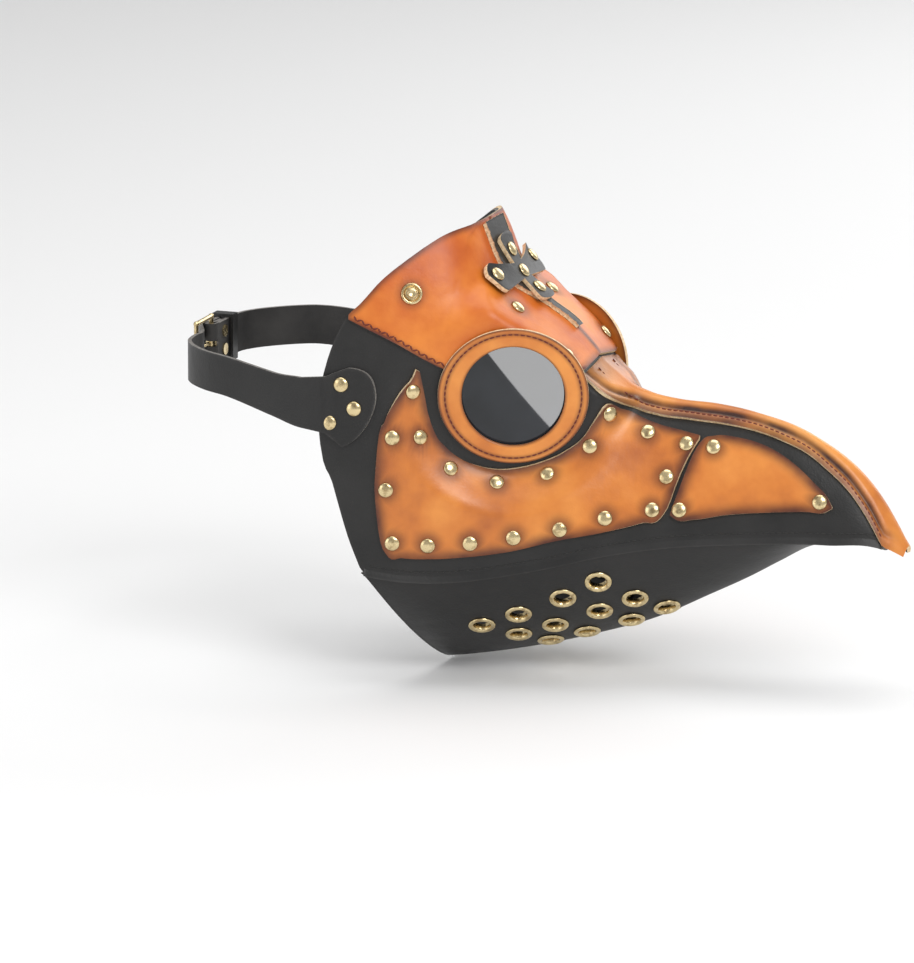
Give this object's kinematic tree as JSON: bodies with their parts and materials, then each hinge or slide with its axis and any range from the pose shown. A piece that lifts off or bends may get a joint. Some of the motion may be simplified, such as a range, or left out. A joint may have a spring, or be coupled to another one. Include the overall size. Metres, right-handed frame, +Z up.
{
  "type": "plague doctor mask",
  "caption": "Leather bird-beak mask with round dark lenses, riveted tan patches, a vented underside and a buckled head strap.",
  "frame": {"origin": "on the plane of symmetry at eye height, level with the rear edges of the side panels: where the mask meets the wearer's head", "axes": "+X along the beak, +Y to the wearer's left, +Z up"},
  "size_m": [0.3977, 0.1632, 0.2398],
  "materials": {
    "tan_leather": "smooth burnished, darker at the edges",
    "black_leather": "satin with fine grain",
    "aged_brass": "lightly aged",
    "dark_lens": "polished, smoked"
  },
  "bodies": {
    "mask": {"right_side_panel": "black_leather", "left_side_panel": "black_leather", "right_forehead_panel": "tan_leather", "left_forehead_panel": "tan_leather", "underside_panel": "black_leather", "ridge_strip": "tan_leather", "right_cheek_patch": "tan_leather", "left_cheek_patch": "tan_leather", "right_beak_patch": "tan_leather", "left_beak_patch": "tan_leather", "right_eye_ring": "tan_leather", "left_eye_ring": "tan_leather", "right_lens": "dark_lens", "left_lens": "dark_lens", "right_lens_backing_ring": "black_leather", "left_lens_backing_ring": "black_leather", "forehead_center_strip": "black_leather", "forehead_cross": "black_leather", "cross_rivets": "aged_brass", "right_forehead_rivets": "aged_brass", "left_forehead_rivets": "aged_brass", "right_cheek_rivets": "aged_brass", "left_cheek_rivets": "aged_brass", "right_beak_rivets": "aged_brass", "left_beak_rivets": "aged_brass", "vent_eyelets": "aged_brass", "vent_washers": "aged_brass", "right_snap_stud": "aged_brass", "left_snap_stud": "aged_brass", "right_snap_back": "aged_brass", "left_snap_back": "aged_brass", "right_strap_tab": "black_leather", "left_strap_tab": "black_leather", "right_strap_rivets": "aged_brass", "left_strap_rivets": "aged_brass"},
    "strap_loop": {"right_strap_band": "black_leather", "left_strap_band": "black_leather", "fold_rivets": "aged_brass"},
    "buckle_frame_body": {"buckle_frame": "aged_brass"},
    "buckle_prong_body": {"buckle_prong": "aged_brass"},
    "keeper_body": {"strap_keeper": "black_leather"}
  },
  "joints": [
    {"name": "strap_swing", "type": "hinge", "parent": "mask", "child": "strap_loop", "pos_m": [0.013, 0, -0.005], "axis": [0, 1, 0], "range_deg": [-14, 14], "stiffness_Nm_per_rad": 1},
    {"name": "buckle_pivot", "type": "hinge", "parent": "strap_loop", "child": "buckle_frame_body", "pos_m": [-0.0917, 0.004, 0.004], "axis": [0, 0, -1], "range_deg": [0, 10]},
    {"name": "prong_lift", "type": "hinge", "parent": "buckle_frame_body", "child": "buckle_prong_body", "pos_m": [-0.0917, 0.004, 0.004], "axis": [0, 0, -1], "range_deg": [0, 85]},
    {"name": "keeper_slide", "type": "slide", "parent": "strap_loop", "child": "keeper_body", "axis": [0, 1, 0], "range_m": [-0.0025, 0.003]}
  ]
}
